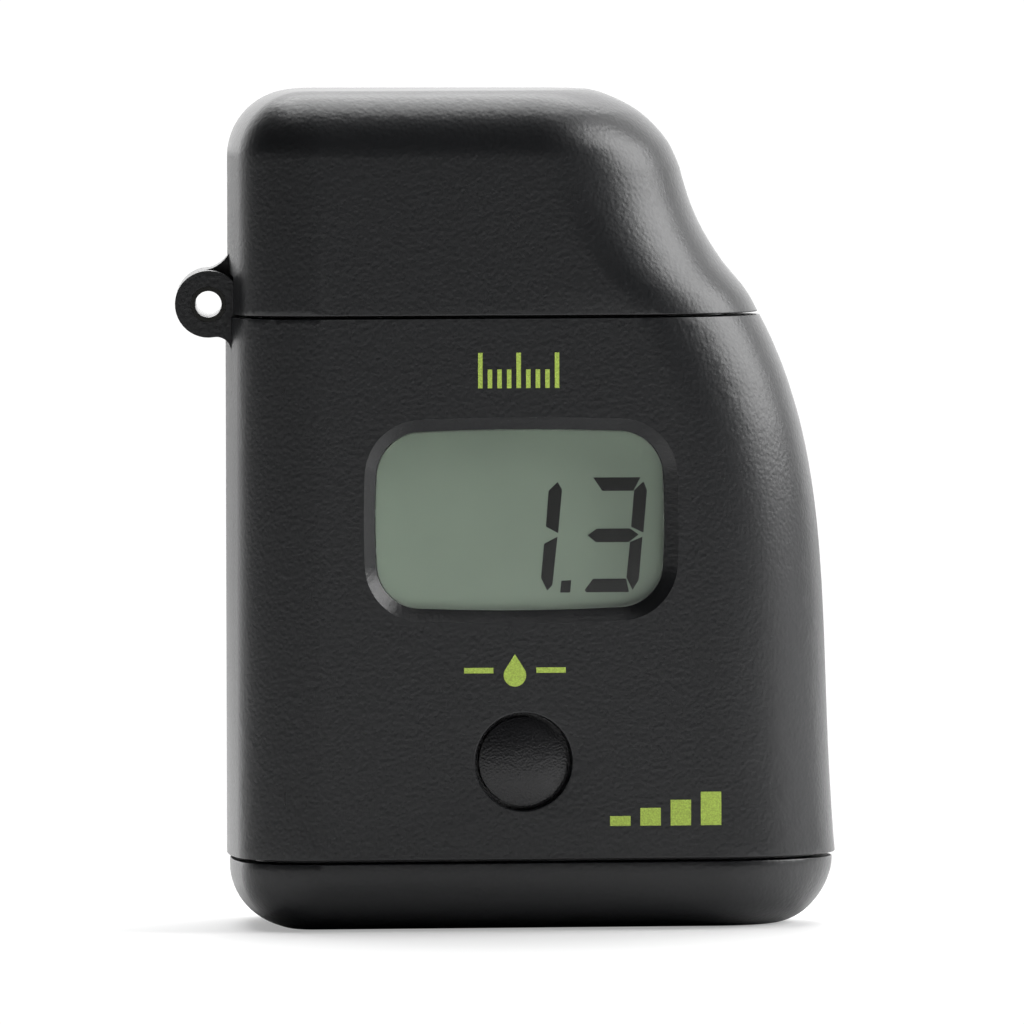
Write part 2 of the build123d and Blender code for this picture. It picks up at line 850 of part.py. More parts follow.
def chip(plane, centre_s, centre_z, side_s, side_z, height, leg_count, leg_pitch, all_round):
    """Surface mounted chip: a moulded body on a plane, with rows of legs out of its sides."""
    rows = [(0, side_z)]
    if all_round:
        rows.append((90, side_s))
    with BuildPart() as package:
        with BuildSketch(plane.offset(chip_standoff)):
            with Locations((centre_s, centre_z)):
                Rectangle(side_s, side_z)
        extrude(amount=height - chip_standoff)
        with BuildSketch(plane):
            for turn, span in rows:
                for side in (-1, 1):
                    reach = side * (span + chip_leg_length) / 2
                    shift = (0, reach) if turn == 0 else (reach, 0)
                    with Locations((centre_s + shift[0], centre_z + shift[1])):
                        with GridLocations(
                            leg_pitch if turn == 0 else 1,
                            1 if turn == 0 else leg_pitch,
                            leg_count if turn == 0 else 1,
                            1 if turn == 0 else leg_count,
                        ):
                            Rectangle(
                                chip_leg_width if turn == 0 else chip_leg_length,
                                chip_leg_length if turn == 0 else chip_leg_width,
                            )
        extrude(amount=height / 2)
    return package


microcontroller = chip(
    face(board_front_depth),
    controller_s,
    controller_z,
    controller_side,
    controller_side,
    controller_height,
    controller_leg_count,
    controller_leg_pitch,
    True,
)
amplifier_chip = chip(
    board_back,
    amplifier_s,
    -(light_height + amplifier_rise),
    amplifier_width,
    amplifier_length,
    amplifier_height,
    amplifier_leg_count,
    amplifier_leg_pitch,
    False,
)

with BuildPart() as crystal:
    with BuildSketch(
        Plane(
            origin=face(board_front_depth).from_local_coords(
                (crystal_s, crystal_z, crystal_radius)
            ),
            z_dir=(taper_cos, taper_sin, 0),
        )
    ):
        Circle(crystal_radius)
    extrude(amount=crystal_length)
    chamfer(crystal.edges().group_by(Axis.X)[-1], crystal_radius / 4)

with BuildPart() as capacitors:
    with BuildSketch(face(board_front_depth)):
        with Locations((capacitor_s, capacitor_z)):
            with GridLocations(capacitor_pitch, 1, capacitor_count, 1):
                Rectangle(capacitor_width, capacitor_length)
    extrude(amount=capacitor_height)

# Switch and button, on one axis square to the front face
with BuildPart() as switch_body:
    with BuildSketch(face(board_front_depth)):
        with Locations((button_s, button_z)):
            Rectangle(switch_side, switch_side)
    extrude(amount=switch_height)
    with BuildSketch(face(board_front_depth - switch_height + plunger_well_depth)):
        with Locations((button_s, button_z)):
            Circle(plunger_radius + plunger_clearance)
    extrude(amount=plunger_well_depth, mode=Mode.SUBTRACT)

with BuildPart() as switch_plunger:
    with BuildSketch(
        face(board_front_depth - switch_height - plunger_rise + plunger_length)
    ):
        with Locations((button_s, button_z)):
            Circle(plunger_radius)
    extrude(amount=plunger_length)

button_plane = Plane(
    origin=face(0).from_local_coords((button_s, button_z, 0)),
    x_dir=(taper_cos, taper_sin, 0),
    z_dir=(0, 0, 1),
)
dome_edge_depth = (
    button_dome_radius - sqrt(button_dome_radius**2 - button_radius**2) - button_proud
)
flange_depth = wall + button_flange_gap
with BuildPart() as button_cap:
    with BuildSketch(button_plane) as cap_profile:
        with BuildLine():
            half_radius = button_radius / 2
            ThreePointArc(
                (0, -button_proud),
                (
                    half_radius,
                    button_dome_radius
                    - sqrt(button_dome_radius**2 - half_radius**2)
                    - button_proud,
                ),
                (button_radius, dome_edge_depth),
            )
            Polyline(
                (button_radius, dome_edge_depth),
                (button_radius, flange_depth),
                (button_flange_radius, flange_depth),
                (button_flange_radius, flange_depth + button_flange_thickness),
                (button_radius - button_wall, flange_depth + button_flange_thickness),
                (button_radius - button_wall, dome_edge_depth + button_skin),
                (button_stem_radius, dome_edge_depth + button_skin),
                (button_stem_radius, stem_end_depth),
                (0, stem_end_depth),
                (0, -button_proud),
            )
        make_face()
        rim = button_plane.from_local_coords(Vector(button_radius, dome_edge_depth, 0))
        fillet(cap_profile.vertices().sort_by_distance(rim)[0], button_edge_rounding)
    revolve(axis=Axis(button_plane.origin, button_plane.y_dir))

# Battery and its contacts
with BuildPart() as battery:
    with BuildSketch(Plane.XY.offset(cell_bottom)):
        with Locations((cell_x, cell_y)):
            Circle(cell_radius)
    extrude(amount=cell_can_length)
    chamfer(battery.edges(), cell_edge_bevel)
    with BuildSketch(Plane.XY.offset(cell_bottom + cell_can_length)):
        with Locations((cell_x, cell_y)):
            Circle(cell_nub_radius)
    extrude(amount=cell_length - cell_can_length)

with BuildPart() as battery_top_contact:
    arm_y = front_y(contact_arm_x) + (board_back_depth + contact_thickness) / taper_cos
    with BuildSketch(Plane.XY.offset(cell_top)):
        with Locations((cell_x, cell_y)):
            Rectangle(contact_side, contact_side)
        with BuildLine():
            Polyline(
                (cell_x, cell_y), (contact_arm_x, cell_y), (contact_arm_x, arm_y + strip_width / 2)
            )
        trace(line_width=strip_width)
    extrude(amount=contact_thickness)

with BuildPart() as spring_plate:
    with BuildSketch(Plane.XY.offset(wall)):
        with Locations((cell_x, cell_y)):
            Circle(spring_plate_radius)
    extrude(amount=contact_thickness)

with BuildPart() as battery_spring:
    leaf_low = wall + contact_thickness + leaf_thickness / 2
    leaf_high = cell_bottom - leaf_thickness / 2
    with BuildSketch(Plane.XZ.offset(-cell_y - leaf_width / 2)):
        with BuildLine():
            ThreePointArc(
                (cell_x - leaf_half_span, leaf_low),
                (cell_x, leaf_high),
                (cell_x + leaf_half_span, leaf_low),
            )
        trace(line_width=leaf_thickness)
    extrude(amount=leaf_width)

with BuildPart() as contact_strip:
    strip_floor = wall + contact_thickness + plate_clearance / 4
    with BuildSketch(face(board_back_depth + contact_thickness)):
        with Locations((contact_arm_x, strip_floor)):
            Rectangle(
                strip_width,
                board_bottom + strip_width - strip_floor,
                align=(Align.CENTER, Align.MIN),
            )
    extrude(amount=contact_thickness)
    foot_y = front_y(contact_arm_x) + (board_back_depth + contact_thickness / 2) / taper_cos
    with BuildSketch(Plane.XY.offset(strip_floor)):
        with BuildLine():
            Polyline(
                (contact_arm_x, foot_y),
                (contact_arm_x, cell_y - leaf_width / 2 - strip_width / 2 - plate_clearance),
                (cell_x - leaf_half_span, cell_y - leaf_width / 2 - strip_width / 2 - plate_clearance),
            )
        trace(line_width=strip_width)
    extrude(amount=contact_thickness)

pieces = {
    "housing": housing,
    "lid": lid,
    "hinge_tube": hinge_tube,
    "well_gasket": well_gasket,
    "cuvette_holder": cuvette_holder,
    "holder_screws": holder_screws,
    "base_cover": base_cover,
    "base_screw": base_screw,
    "display_window": display_window,
    "lcd_glass": lcd_glass,
    "lcd_reflector": lcd_reflector,
    "lcd_pins": lcd_pins,
    "circuit_board": circuit_board,
    "board_screws": board_screws,
    "microcontroller": microcontroller,
    "amplifier_chip": amplifier_chip,
    "crystal": crystal,
    "capacitors": capacitors,
    "switch_body": switch_body,
    "switch_plunger": switch_plunger,
    "button_cap": button_cap,
    "green_led": green_led,
    "photocell": photocell,
    "battery": battery,
    "battery_top_contact": battery_top_contact,
    "spring_plate": spring_plate,
    "battery_spring": battery_spring,
    "contact_strip": contact_strip,
}
for name, piece in pieces.items():
    piece.part.label = name
    export_step(piece.part, f"parts/{name}.step")
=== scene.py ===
"""Looks of a pocket colorimeter: grained case, display, push button, hinge and what is inside.

Sizes are in millimetres unless a name or comment says metres. The studio works in metres.
"""

import logging
import math
from dataclasses import dataclass
from enum import Enum

import bmesh
import bpy
import numpy as np
from mathutils import Matrix, Vector


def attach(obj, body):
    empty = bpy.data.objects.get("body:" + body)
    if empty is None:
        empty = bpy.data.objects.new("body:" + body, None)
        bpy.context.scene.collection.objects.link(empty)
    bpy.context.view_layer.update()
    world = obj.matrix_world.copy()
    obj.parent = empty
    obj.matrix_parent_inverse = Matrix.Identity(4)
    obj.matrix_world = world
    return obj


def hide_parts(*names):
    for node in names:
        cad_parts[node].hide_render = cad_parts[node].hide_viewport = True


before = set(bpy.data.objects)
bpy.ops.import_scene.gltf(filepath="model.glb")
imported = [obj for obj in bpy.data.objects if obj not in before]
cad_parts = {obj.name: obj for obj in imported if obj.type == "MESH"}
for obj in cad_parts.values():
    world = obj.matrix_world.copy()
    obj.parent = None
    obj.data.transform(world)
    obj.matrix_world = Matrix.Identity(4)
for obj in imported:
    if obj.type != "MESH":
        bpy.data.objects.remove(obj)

log = logging.getLogger("meter")

MM = 0.001
JOIN_SCALE = 1e7  # points that agree to a tenth of a micrometre are joined
NORMAL_WEIGHT = 80  # how much more a large face counts in a smooth normal
RIM_SEGMENTS = 2
Point = tuple[float, float]
Place = tuple[float, float, float]
Rgb = tuple[int, int, int]


class Grain(Enum):
    """Surface relief of a finish."""

    NONE = "none"
    PEBBLE = "pebble"
    SPARKLE = "sparkle"
    FINE = "fine"
    BRUSHED = "brushed"


def linear(colour: Rgb) -> tuple[float, float, float, float]:
    """Turn a display colour into the shader's own linear values.

    Args:
        colour: red, green and blue from 0 to 255.

    Returns:
        Linear red, green, blue and full alpha.
    """
    parts = [
        c / 255 / 12.92 if c <= 10 else ((c / 255 + 0.055) / 1.055) ** 2.4 for c in colour
    ]
    return parts[0], parts[1], parts[2], 1.0


@dataclass(frozen=True)
class Finish:
    """One material: its colour and how it varies, its gloss and its relief, with sizes in mm."""

    name: str
    colour: Rgb
    roughness: float = 0.5
    rough_spread: float = 0.06
    metallic: float = 0.0
    specular: float = 0.5
    coat: float = 0.0
    mottle: float = 0.08
    mottle_size: float = 3.0
    grain: Grain = Grain.FINE
    grain_size: float = 0.3
    grain_depth: float = 0.004
    transmission: float = 0.0
    ior: float = 1.5
    spot_low: float = 0.3
    spot_high: float = 0.7
    gloss_spot_share: float = 0.6
    brush_stretch: float = 0.06
    noise_share: float = 0.45

    def material(self) -> bpy.types.Material:
        """Build the node material once.

        Returns:
            The material, or the one built before under this name.
        """
        made = bpy.data.materials.get(self.name)
        if made is not None:
            return made
        made = bpy.data.materials.new(self.name)
        made.use_nodes = True
        tree = made.node_tree
        shader = tree.nodes["Principled BSDF"]
        shader.inputs["Metallic"].default_value = self.metallic
        shader.inputs["Specular IOR Level"].default_value = self.specular
        shader.inputs["Coat Weight"].default_value = self.coat
        shader.inputs["Transmission Weight"].default_value = self.transmission
        shader.inputs["IOR"].default_value = self.ior
        where = tree.nodes.new("ShaderNodeTexCoord").outputs["Object"]
        self._colour(tree, shader, where)
        self._gloss(tree, shader, where)
        if self.grain is not Grain.NONE:
            self._relief(tree, shader, where)
        return made

    def _noise(
        self,
        tree: bpy.types.NodeTree,
        where: bpy.types.NodeSocket,
        size: float,
        detail: float = 3.0,
    ) -> bpy.types.NodeSocket:
        """Add a noise texture.

        Args:
            tree: the material's nodes.
            where: the coordinates it reads.
            size: the size of its spots in millimetres.
            detail: how many finer layers it has.

        Returns:
            Its factor output.
        """
        noise = tree.nodes.new("ShaderNodeTexNoise")
        noise.inputs["Scale"].default_value = 1 / (size * MM)
        noise.inputs["Detail"].default_value = detail
        tree.links.new(where, noise.inputs["Vector"])
        return noise.outputs["Fac"]

    def _colour(
        self,
        tree: bpy.types.NodeTree,
        shader: bpy.types.Node,
        where: bpy.types.NodeSocket,
    ) -> None:
        """Vary the colour in soft spots.

        Args:
            tree: the material's nodes.
            shader: the principled shader.
            where: the coordinates that the spots follow.
        """
        ramp = tree.nodes.new("ShaderNodeValToRGB")
        base = linear(self.colour)
        for element, share in zip(ramp.color_ramp.elements, (1 - self.mottle, 1 + self.mottle)):
            element.color = (base[0] * share, base[1] * share, base[2] * share, 1)
        ramp.color_ramp.elements[0].position = self.spot_low
        ramp.color_ramp.elements[1].position = self.spot_high
        tree.links.new(self._noise(tree, where, self.mottle_size), ramp.inputs["Fac"])
        tree.links.new(ramp.outputs["Color"], shader.inputs["Base Color"])

    def _gloss(
        self,
        tree: bpy.types.NodeTree,
        shader: bpy.types.Node,
        where: bpy.types.NodeSocket,
    ) -> None:
        """Vary the roughness a little.

        Args:
            tree: the material's nodes.
            shader: the principled shader.
            where: the coordinates that the variation follows.
        """
        span = tree.nodes.new("ShaderNodeMapRange")
        span.inputs["From Min"].default_value = self.spot_low
        span.inputs["From Max"].default_value = self.spot_high
        span.inputs["To Min"].default_value = max(0.0, self.roughness - self.rough_spread)
        span.inputs["To Max"].default_value = self.roughness + self.rough_spread
        spots = self._noise(tree, where, self.mottle_size * self.gloss_spot_share)
        tree.links.new(spots, span.inputs["Value"])
        tree.links.new(span.outputs["Result"], shader.inputs["Roughness"])

    def _relief(
        self,
        tree: bpy.types.NodeTree,
        shader: bpy.types.Node,
        where: bpy.types.NodeSocket,
    ) -> None:
        """Add the bump of the grain.

        Args:
            tree: the material's nodes.
            shader: the principled shader.
            where: the coordinates that the grain follows.
        """
        if self.grain is Grain.BRUSHED:
            stretch = tree.nodes.new("ShaderNodeMapping")
            stretch.inputs["Scale"].default_value = (1.0, self.brush_stretch, 1.0)
            tree.links.new(where, stretch.inputs["Vector"])
            where = stretch.outputs["Vector"]
        height = self._noise(tree, where, self.grain_size, detail=4.0)
        if self.grain in (Grain.PEBBLE, Grain.SPARKLE):
            cells = tree.nodes.new("ShaderNodeTexVoronoi")
            cells.feature = "SMOOTH_F1" if self.grain is Grain.PEBBLE else "F1"
            cells.inputs["Scale"].default_value = 1 / (self.grain_size * MM)
            tree.links.new(where, cells.inputs["Vector"])
            mix = tree.nodes.new("ShaderNodeMix")
            mix.inputs["Factor"].default_value = self.noise_share
            tree.links.new(cells.outputs["Distance"], mix.inputs["A"])
            tree.links.new(height, mix.inputs["B"])
            height = mix.outputs["Result"]
        bump = tree.nodes.new("ShaderNodeBump")
        bump.inputs["Strength"].default_value = 1.0
        bump.inputs["Distance"].default_value = self.grain_depth * MM
        tree.links.new(height, bump.inputs["Height"])
        tree.links.new(bump.outputs["Normal"], shader.inputs["Normal"])


CASE = Finish("case_grain", (24, 25, 27), 0.36, 0.02, mottle=0.12, mottle_size=0.6,
              grain=Grain.PEBBLE, grain_size=0.42, grain_depth=0.040)
BUTTON = Finish("button_sparkle", (26, 26, 28), 0.32, 0.04, mottle=0.25, mottle_size=0.3,
                grain=Grain.SPARKLE, grain_size=0.24, grain_depth=0.055)
HOLDER = Finish("holder_black", (26, 26, 27), 0.55, grain_size=0.25, grain_depth=0.006)
GASKET = Finish("gasket_rubber", (32, 32, 33), 0.7, grain_size=0.2, grain_depth=0.006)
BLACKED = Finish("tube_blacked", (52, 52, 50), 0.28, 0.05, metallic=0.8, mottle=0.06,
                 grain=Grain.BRUSHED, grain_size=0.12, grain_depth=0.002)
ZINC = Finish("screw_zinc", (190, 190, 186), 0.3, 0.08, metallic=1.0, mottle=0.08,
              mottle_size=0.8, grain_size=0.15, grain_depth=0.002)
NICKEL = Finish("contact_nickel", (205, 203, 196), 0.25, 0.08, metallic=1.0, mottle=0.05,
                grain=Grain.BRUSHED, grain_size=0.15, grain_depth=0.002)
WINDOW = Finish("window_clear", (250, 252, 250), 0.02, 0.01, mottle=0.005, grain=Grain.NONE,
                transmission=1.0, ior=1.49)
LCD = Finish("lcd_grey_green", (171, 188, 169), 0.45, 0.05, mottle=0.03, mottle_size=6.0,
             grain_size=0.12, grain_depth=0.001)
REFLECTOR = Finish("reflector_satin", (160, 165, 158), 0.35, grain_depth=0.001)
SEGMENT = Finish("segment_ink", (9, 11, 8), 0.6, specular=0.08, mottle=0.05, grain_depth=0.0005)
# painted highlight: a pale opaque colour on the clear window's bevelled edge, in place of the
# light that the edge catches
WINDOW_EDGE_HIGHLIGHT = Finish("window_edge_painted_highlight", (205, 212, 204), 0.25, mottle=0.04, grain_depth=0.0005)
PRINT = Finish("print_green", (188, 214, 92), 0.55, 0.06, mottle=0.22, mottle_size=0.16,
               grain=Grain.PEBBLE, grain_size=0.25, grain_depth=0.01)
BOARD = Finish("board_mask", (22, 92, 58), 0.3, 0.05, coat=0.3, mottle=0.12, mottle_size=2.0,
               grain_size=0.5, grain_depth=0.003)
CHIP = Finish("chip_black", (38, 38, 39), 0.6, mottle=0.1, mottle_size=0.6, grain_size=0.1)
CAPACITOR = Finish("capacitor_tan", (170, 140, 105), 0.5, mottle=0.1, mottle_size=0.5)
PLUNGER = Finish("plunger_grey", (150, 150, 146), 0.45, mottle=0.05)
LED = Finish("led_green", (90, 200, 110), 0.15, 0.04, mottle=0.05, transmission=0.5,
             grain=Grain.NONE)
DETECTOR = Finish("detector_dark", (30, 30, 36), 0.2, 0.05, coat=0.5)
CELL = Finish("cell_sleeve", (70, 72, 76), 0.3, 0.05, metallic=0.6, mottle=0.06,
              grain_size=0.4, grain_depth=0.002)


@dataclass(frozen=True)
class Nudge:
    """A small change of one end of a moulding: heights and how far each moves, in mm."""

    heights: tuple[float, ...]
    shifts: tuple[float, ...]
    from_x: float
    to_x: float

    def apply(self, places: np.ndarray) -> None:
        """Move points along x, more and more from one x to the other.

        Args:
            places: the points in metres, changed in place.
        """
        along = (places[:, 0] / MM - self.from_x) / (self.to_x - self.from_x)
        share = np.clip(along, 0, 1)
        share = share * share * (3 - 2 * share)
        places[:, 0] += np.interp(places[:, 2] / MM, self.heights, self.shifts) * share * MM


@dataclass(frozen=True)
class Rim:
    """An edge of a moulding that is broken by a small bevel, with sizes in mm."""

    height: float
    width: float = 0.16
    slack: float = 0.02
    sharp_from: float = 60.0

    def edges(self, mesh: bmesh.types.BMesh) -> list[bmesh.types.BMEdge]:
        """Find the sharp edges that belong to the rim.

        Args:
            mesh: the mesh to search.

        Returns:
            The rim's edges.
        """
        turn = math.radians(self.sharp_from)
        return [
            edge
            for edge in mesh.edges
            if len(edge.link_faces) == 2 and edge.calc_face_angle(0.0) >= turn and self.holds(edge)
        ]

    def holds(self, edge: bmesh.types.BMEdge) -> bool:
        """Tell whether an edge lies at the rim's height."""
        return all(abs(v.co.z / MM - self.height) < self.slack for v in edge.verts)


@dataclass(frozen=True)
class FaceRim(Rim):
    """The sharp rim of a hole or a plate on the front face, within reach of a centre."""

    centre_x: float = 0.0
    reach: float = 20.0
    front_normal: float = -0.9
    back_limit: float = -12.0

    def holds(self, edge: bmesh.types.BMEdge) -> bool:
        """Tell whether an edge joins the front face and what leads back from it.

        Args:
            edge: a sharp edge of the mesh.

        Returns:
            True where it belongs to the rim.
        """
        if all(face.normal.y > self.front_normal for face in edge.link_faces):
            return False
        return all(
            v.co.y / MM < self.back_limit
            and math.hypot(v.co.x / MM - self.centre_x, v.co.z / MM - self.height) < self.reach
            for v in edge.verts
        )


def smooth_copy(
    node: str,
    nudge: Nudge | None = None,
    rims: tuple[Rim, ...] = (),
    sharp_angle: float = 28.0,
) -> bpy.types.Object:
    """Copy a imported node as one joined, smoothly shaded mesh.

    Args:
        node: the node's name.
        nudge: a small change of its swept end.
        rims: edges that get a bevel.
        sharp_angle: edges that turn by more than this, in degrees, stay sharp.

    Returns:
        The new object, at the origin.
    """
    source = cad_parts[node].data
    places = np.zeros(len(source.vertices) * 3, np.float32)
    source.vertices.foreach_get("co", places)
    places = places.reshape(-1, 3)
    _, first, joined = np.unique(
        np.round(places * JOIN_SCALE).astype(np.int64),
        axis=0,
        return_index=True,
        return_inverse=True,
    )
    joined = joined.reshape(-1)
    faces = []
    for polygon in source.polygons:
        corners = [int(joined[v]) for v in polygon.vertices]
        if len(set(corners)) == 3:
            faces.append(corners)
    mesh = bpy.data.meshes.new(f"{node}_skin")
    mesh.from_pydata(places[first].tolist(), [], faces)
    mesh.validate()
    for rim in rims:
        soften(mesh, rim)
    if rims:
        put_in_order(mesh)
    if nudge is not None:
        points = np.zeros(len(mesh.vertices) * 3, np.float32)
        mesh.vertices.foreach_get("co", points)
        points = points.reshape(-1, 3)
        nudge.apply(points)
        mesh.vertices.foreach_set("co", points.reshape(-1))
    mesh.shade_smooth()
    mesh.set_sharp_from_angle(angle=math.radians(sharp_angle))
    piece = add_piece(f"{node}_skin", mesh)
    weighted = piece.modifiers.new("weighted", "WEIGHTED_NORMAL")
    weighted.mode = "FACE_AREA"
    weighted.weight = NORMAL_WEIGHT
    weighted.keep_sharp = True
    return bake(piece)


def soften(mesh: bpy.types.Mesh, rim: Rim) -> None:
    """Bevel one rim of a mesh.

    Args:
        mesh: the mesh, changed in place.
        rim: which edges, and how wide.
    """
    work = bmesh.new()
    work.from_mesh(mesh)
    edges = rim.edges(work)
    if edges:
        bmesh.ops.bevel(
            work,
            geom=edges,
            offset=rim.width * MM,
            offset_type="OFFSET",
            segments=RIM_SEGMENTS,
            profile=0.5,
            affect="EDGES",
            clamp_overlap=True,
        )
    bmesh.ops.triangulate(work, faces=work.faces)
    work.to_mesh(mesh)
    work.free()
    log.info("rim at %.2f mm: %d edges", rim.height, len(edges))


def put_in_order(mesh: bpy.types.Mesh) -> None:
    """Give points and faces a fixed order, because a bevel's own order changes with each run.

    Args:
        mesh: the mesh, changed in place.
    """
    places = [tuple(vertex.co) for vertex in mesh.vertices]
    order = sorted(
        range(len(places)), key=lambda i: tuple(round(part * JOIN_SCALE) for part in places[i])
    )
    rank = {old: new for new, old in enumerate(order)}
    faces = []
    for polygon in mesh.polygons:
        corners = [rank[vertex] for vertex in polygon.vertices]
        first = corners.index(min(corners))
        faces.append(corners[first:] + corners[:first])
    faces.sort()
    mesh.clear_geometry()
    mesh.from_pydata([places[i] for i in order], [], faces)


def add_piece(name: str, mesh: bpy.types.Mesh) -> bpy.types.Object:
    """Put a mesh in the scene as an object at the origin.

    Args:
        name: the object's name.
        mesh: its mesh.

    Returns:
        The new object.
    """
    piece = bpy.data.objects.new(name, mesh)
    bpy.context.scene.collection.objects.link(piece)
    return piece


def bake(piece: bpy.types.Object) -> bpy.types.Object:
    """Turn an object's modifiers into plain mesh.

    Args:
        piece: the object.

    Returns:
        The same object, with no modifiers.
    """
    bpy.context.view_layer.update()
    ready = piece.evaluated_get(bpy.context.evaluated_depsgraph_get())
    mesh = bpy.data.meshes.new_from_object(ready)
    piece.modifiers.clear()
    old = piece.data
    piece.data = mesh
    bpy.data.meshes.remove(old)
    return piece


def dress(piece: bpy.types.Object, finish: Finish) -> None:
    """Give an object one finish in all its material slots.

    Args:
        piece: the object.
        finish: its finish.
    """
    if not piece.data.materials:
        piece.data.materials.append(finish.material())
    for place in piece.material_slots:
        place.material = finish.material()


def stand_in(
    node: str,
    body: str,
    finish: Finish,
    nudge: Nudge | None = None,
    rims: tuple[Rim, ...] = (),
) -> bpy.types.Object:
    """Replace a node by its smooth copy.

    Args:
        node: the node's name.
        body: the body that it rides on.
        finish: its finish.
        nudge: a small change of its swept end.
        rims: edges that get a bevel.

    Returns:
        The new piece.
    """
    piece = smooth_copy(node, nudge=nudge, rims=rims)
    dress(piece, finish)
    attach(piece, body)
    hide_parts(node)
    log.info("%s: smooth copy with %d faces", node, len(piece.data.polygons))
    return piece


@dataclass
class FrontFace:
    """The flat, slanting front of the case: its taper in degrees and its left end in mm."""

    taper: float = 7.0
    start_x: float = -21.002
    start_y: float = -18.690

    def y_at(self, x: float) -> float:
        """Return the y of the face at x, in mm."""
        return self.start_y + (x - self.start_x) * math.tan(math.radians(self.taper))

    def frame_at(self, along: float, up: float, depth: float) -> Matrix:
        """Place a drawing on the face.

        Args:
            along: distance along the face from x = 0, in mm.
            up: height, in mm.
            depth: distance under the face, in mm.

        Returns:
            The matrix that takes a drawing in mm (x along, y up, z out) to metres.
        """
        turn = math.radians(self.taper)
        side = Vector((math.cos(turn), math.sin(turn), 0))
        out = Vector((math.sin(turn), -math.cos(turn), 0))
        rise = Vector((0, 0, 1))
        origin = Vector((0, self.y_at(0), 0)) + side * along + rise * up - out * depth
        grid = Matrix((side, rise, out)).transposed().to_4x4()
        return Matrix.Scale(MM, 4) @ Matrix.Translation(origin) @ grid


def flat_prisms(name: str, outlines: list[list[Point]], thickness: float) -> bpy.types.Mesh:
    """Make thin solid plates from outlines.

    Args:
        name: the mesh's name.
        outlines: each plate's corners, anticlockwise, in mm.
        thickness: how far they stand out, in mm.

    Returns:
        The mesh, lying in x and y.
    """
    corners: list[Place] = []
    faces: list[list[int]] = []
    for outline in outlines:
        count = len(outline)
        start = len(corners)
        corners += [(x, y, 0.0) for x, y in outline]
        corners += [(x, y, thickness) for x, y in outline]
        faces.append([start + i for i in reversed(range(count))])
        faces.append([start + count + i for i in range(count)])
        for i in range(count):
            j = (i + 1) % count
            faces.append([start + i, start + j, start + count + j, start + count + i])
    mesh = bpy.data.meshes.new(name)
    mesh.from_pydata(corners, [], faces)
    mesh.validate()
    return mesh


LID_END = Nudge(  # the lid's right shoulder, rounder towards the top
    (62.4, 62.7, 63.9, 65.1, 66.3, 67.5, 74.9, 77.3, 78.6, 79.8, 81.0, 82.0, 82.7, 83.3, 83.9,
     84.5, 85.2),
    (0.0, 0.07, 0.3, 0.4, 0.27, 0.15, 0.12, 0.0, -0.3, -0.8, -1.35, -1.8, -2.1, -2.4, -2.75,
     -3.1, -3.4),
    from_x=-2.0,
    to_x=12.0,
)
BASE_END = Nudge(  # the base's lower right corner, a little fuller in its radius
    (0.0, 1.0, 1.8, 2.65, 3.5, 4.3, 5.1, 6.0, 7.0),
    (-0.3, -0.38, -0.43, -0.41, -0.35, -0.27, -0.18, -0.05, 0.0),
    from_x=20.0,
    to_x=27.0,
)


@dataclass
class CaseShells:
    """The three mouldings of the case, with the heights of their rims, in mm."""

    finish: Finish = CASE
    lid_rim: float = 62.45
    housing_top: float = 62.15
    housing_foot: float = 7.275
    base_rim: float = 6.925
    button_up: float = 17.2
    button_x: float = -0.9
    hole_rim_width: float = 0.2
    hole_reach: float = 6.0

    def build(self) -> None:
        """Replace the mouldings by smooth copies with softened rims."""
        hole_rim = FaceRim(
            self.button_up, self.hole_rim_width, centre_x=self.button_x, reach=self.hole_reach
        )
        housing_rims = (Rim(self.housing_top), Rim(self.housing_foot), hole_rim)
        stand_in("housing", "case", self.finish, rims=housing_rims)
        stand_in("base_cover", "case", self.finish, BASE_END, (Rim(self.base_rim),))
        stand_in("lid", "lid", self.finish, LID_END, (Rim(self.lid_rim),))


